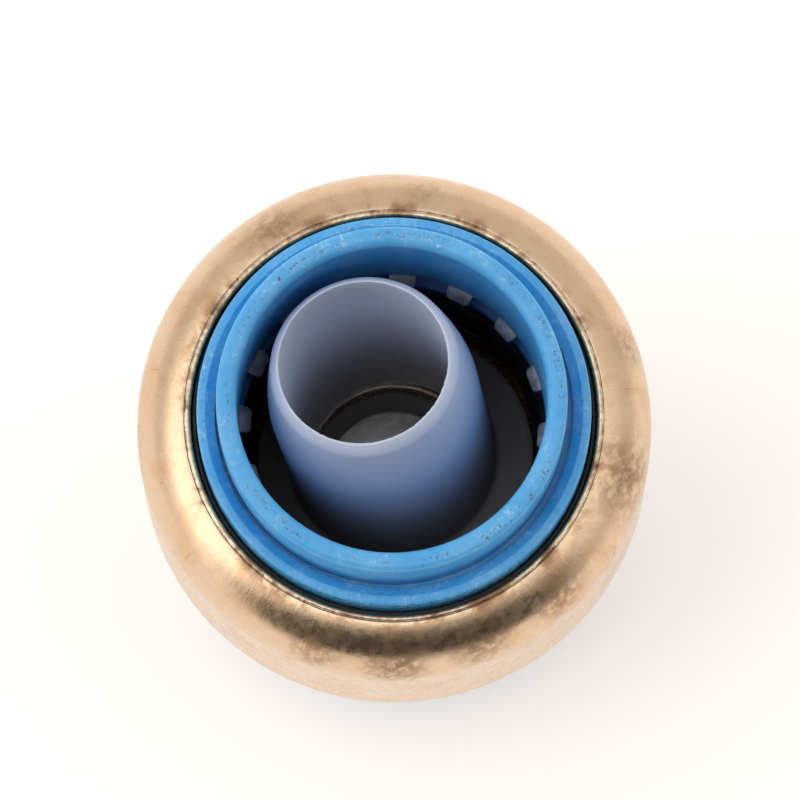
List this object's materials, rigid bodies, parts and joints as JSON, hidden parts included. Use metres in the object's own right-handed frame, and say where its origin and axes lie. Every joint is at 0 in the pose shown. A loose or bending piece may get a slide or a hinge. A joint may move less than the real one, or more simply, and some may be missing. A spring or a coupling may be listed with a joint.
{
  "type": "push fit coupling",
  "caption": "Reducing push fit coupling: brass body with a release collar, retaining ring, grab ring, seal and tube liner in each end.",
  "frame": {"origin": "on the tube axis, halfway through the stop between the two tubes", "axes": "+Z along the tube axis out of the upper, larger socket; the upper liner leans towards +Y"},
  "size_m": [0.0274, 0.0274, 0.0379],
  "materials": {
    "brass": "satin turned brass, tarnished near the rolled lips",
    "collar_plastic": "smooth moulded acetal with handling scuffs",
    "ring_plastic": "smooth moulded acetal",
    "gasket_rubber": "matt moulded rubber",
    "spring_steel": "stamped stainless spring steel",
    "washer_plastic": "moulded black plastic",
    "seal_rubber": "lightly greased rubber",
    "liner_plastic": "smooth moulded plastic with a soft sheen"
  },
  "bodies": {
    "fitting": {"brass_body": "brass", "upper_lip_gasket": "gasket_rubber", "lower_lip_gasket": "gasket_rubber", "upper_seal_washer": "washer_plastic", "lower_seal_washer": "washer_plastic", "upper_o_ring": "seal_rubber", "lower_o_ring": "seal_rubber"},
    "upper_cartridge": {"upper_retaining_ring": "ring_plastic", "upper_grab_ring": "spring_steel", "upper_grab_ring_seat": "ring_plastic"},
    "lower_cartridge": {"lower_retaining_ring": "ring_plastic", "lower_grab_ring": "spring_steel", "lower_grab_ring_seat": "ring_plastic"},
    "upper_collar": {"upper_release_collar": "collar_plastic"},
    "lower_collar": {"lower_release_collar": "collar_plastic"},
    "upper_liner": {"upper_tube_liner": "liner_plastic"},
    "lower_liner": {"lower_tube_liner": "liner_plastic"}
  },
  "joints": [
    {"name": "upper_cartridge_turn", "type": "hinge", "parent": "fitting", "child": "upper_cartridge", "pos_m": [0, 0, 0.0143], "axis": [0, 0, 1], "continuous": true},
    {"name": "lower_cartridge_turn", "type": "hinge", "parent": "fitting", "child": "lower_cartridge", "pos_m": [0, 0, -0.01174], "axis": [0, 0, -1], "continuous": true},
    {"name": "upper_collar_press", "type": "slide", "parent": "upper_cartridge", "child": "upper_collar", "axis": [0, 0, -1], "range_m": [0, 0.002], "stiffness_N_per_m": 6000, "springref_m": -0.0005, "deforming": ["upper_grab_ring"]},
    {"name": "lower_collar_press", "type": "slide", "parent": "lower_cartridge", "child": "lower_collar", "axis": [0, 0, 1], "range_m": [0, 0.0016], "stiffness_N_per_m": 6000, "springref_m": -0.0005, "deforming": ["lower_grab_ring"]},
    {"name": "upper_liner_lean", "type": "hinge", "parent": "fitting", "child": "upper_liner", "pos_m": [0, 0.0073, 0.0015], "axis": [1, 0, 0], "range_deg": [0, 9.4]},
    {"name": "lower_liner_lean", "type": "hinge", "parent": "fitting", "child": "lower_liner", "pos_m": [0, 0.00608, -0.0015], "axis": [1, 0, 0], "range_deg": [0, 9.4]}
  ]
}
